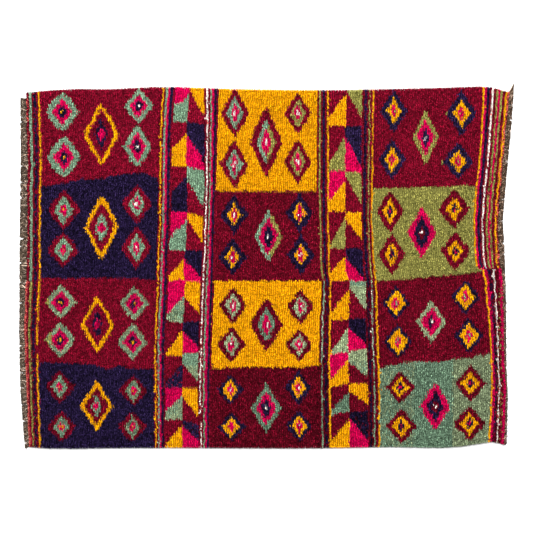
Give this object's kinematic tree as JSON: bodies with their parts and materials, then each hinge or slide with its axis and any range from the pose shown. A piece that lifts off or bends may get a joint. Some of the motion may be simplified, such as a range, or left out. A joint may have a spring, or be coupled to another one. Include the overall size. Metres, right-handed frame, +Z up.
{
  "type": "tulu rug",
  "caption": "Shaggy knotted wool rug lying flat, with panels of stepped diamonds, bands of split triangles, end stripes and a short matted fringe at both ends.",
  "frame": {"origin": "middle of the rug's flat underside, on the floor", "axes": "+X along the rug's length, towards the end with the shorter fringe; +Y across it, along the rows of knots; +Z up out of the pile"},
  "size_m": [1.8008, 1.3224, 0.0203],
  "materials": {
    "pile_crimson": "matt shaggy wool, madder crimson",
    "pile_navy": "matt shaggy wool, violet navy",
    "pile_saffron": "matt shaggy wool, saffron yellow",
    "pile_sea_green": "matt shaggy wool, pale sea green",
    "pile_olive": "matt shaggy wool, olive green",
    "pile_pink": "matt shaggy wool, hot pink",
    "pile_cream": "undyed cream wool, uneven hand-spun",
    "pile_salmon": "matt shaggy wool, salmon",
    "ground_wool": "undyed brown wool, plain woven",
    "fringe_taupe": "undyed grey-brown wool, matted warp ends"
  },
  "bodies": {
    "root": {"knotted_rug": "pile_crimson", "fringe_left": "fringe_taupe", "fringe_right": "fringe_taupe"}
  },
  "joints": []
}
